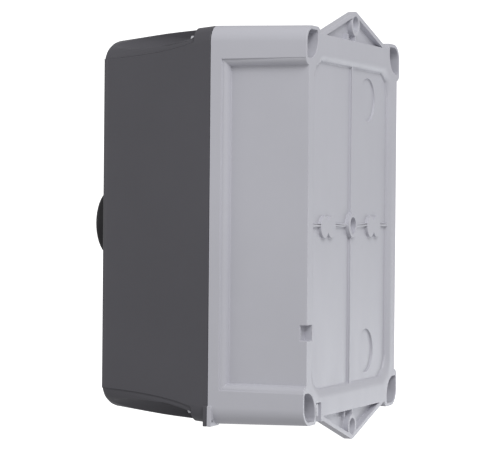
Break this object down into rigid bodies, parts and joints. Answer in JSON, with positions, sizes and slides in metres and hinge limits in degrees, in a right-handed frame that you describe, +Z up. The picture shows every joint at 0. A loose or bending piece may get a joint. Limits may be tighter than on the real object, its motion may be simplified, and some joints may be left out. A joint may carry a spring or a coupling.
{
  "type": "surface-mounting switch enclosure",
  "caption": "Insulated wall enclosure: light grey base with corner tubes and fixing lugs, deep dark grey hood, and a round rotary handle that works a switch inside.",
  "frame": {"origin": "the centre of the base's back, in the plane of the wall", "axes": "+Y into the wall, the front faces -Y, +Z up, +X to the right as seen from the front"},
  "size_m": [0.2045, 0.201, 0.315],
  "materials": {
    "light_grey_housing": "satin moulded thermoplastic with a very fine grain",
    "dark_grey_hood": "satin moulded thermoplastic with a fine grain",
    "pale_grey_plastic": "semi-gloss moulded polyamide",
    "handle_black": "satin moulded polyamide",
    "switch_plastic": "matte moulded thermoset",
    "neutral_blue": "semi-gloss moulded polyamide",
    "earth_green": "semi-gloss moulded polyamide",
    "black_rubber": "matte foamed rubber",
    "zinc_steel": "zinc plated",
    "spindle_steel": "zinc plated square bar",
    "terminal_screw_metal": "machined"
  },
  "bodies": {
    "base": {"base_housing": "light_grey_housing", "cover_gasket": "black_rubber", "mounting_rail": "zinc_steel", "rail_screw_left": "zinc_steel", "rail_screw_right": "zinc_steel", "rail_stop_left": "pale_grey_plastic", "rail_stop_right": "pale_grey_plastic", "switch_body": "switch_plastic", "switch_terminal_screw_1": "terminal_screw_metal", "switch_terminal_screw_2": "terminal_screw_metal", "switch_terminal_screw_3": "terminal_screw_metal", "switch_terminal_screw_4": "terminal_screw_metal", "switch_terminal_screw_5": "terminal_screw_metal", "switch_terminal_screw_6": "terminal_screw_metal", "neutral_terminal": "neutral_blue", "neutral_terminal_screw_top": "terminal_screw_metal", "neutral_terminal_screw_bottom": "terminal_screw_metal", "earth_terminal": "earth_green", "earth_terminal_screw_top": "terminal_screw_metal", "earth_terminal_screw_bottom": "terminal_screw_metal"},
    "spindle": {"switch_spindle": "spindle_steel"},
    "cover": {"cover_hood": "dark_grey_hood", "rosette_seal": "black_rubber", "handle_rosette": "handle_black", "rosette_nut": "switch_plastic"},
    "handle": {"handle": "handle_black"},
    "cover_screw_top_right": {"cover_screw_top_right": "pale_grey_plastic"},
    "cover_screw_top_left": {"cover_screw_top_left": "pale_grey_plastic"},
    "cover_screw_bottom_left": {"cover_screw_bottom_left": "pale_grey_plastic"},
    "cover_screw_bottom_right": {"cover_screw_bottom_right": "pale_grey_plastic"}
  },
  "joints": [
    {"name": "cover_lift", "type": "slide", "parent": "base", "child": "cover", "axis": [0, -1, 0], "range_m": [0, 0.25]},
    {"name": "handle_turn", "type": "hinge", "parent": "cover", "child": "handle", "pos_m": [0, -0.17, 0], "axis": [0, -1, 0], "range_deg": [0, 90]},
    {"name": "spindle_turn", "type": "hinge", "parent": "base", "child": "spindle", "pos_m": [0, -0.1, 0], "axis": [0, -1, 0], "range_deg": [0, 90]},
    {"name": "cover_screw_top_right_turn", "type": "hinge", "parent": "cover", "child": "cover_screw_top_right", "pos_m": [0.094, -0.088, 0.131], "axis": [0, -1, 0], "range_deg": [0, 90]},
    {"name": "cover_screw_top_left_turn", "type": "hinge", "parent": "cover", "child": "cover_screw_top_left", "pos_m": [-0.094, -0.088, 0.131], "axis": [0, -1, 0], "range_deg": [0, 90]},
    {"name": "cover_screw_bottom_left_turn", "type": "hinge", "parent": "cover", "child": "cover_screw_bottom_left", "pos_m": [-0.094, -0.088, -0.131], "axis": [0, -1, 0], "range_deg": [0, 90]},
    {"name": "cover_screw_bottom_right_turn", "type": "hinge", "parent": "cover", "child": "cover_screw_bottom_right", "pos_m": [0.094, -0.088, -0.131], "axis": [0, -1, 0], "range_deg": [0, 90]}
  ],
  "couplings": [
    {"joint": "spindle_turn", "follows": "handle_turn", "ratio": 1}
  ]
}
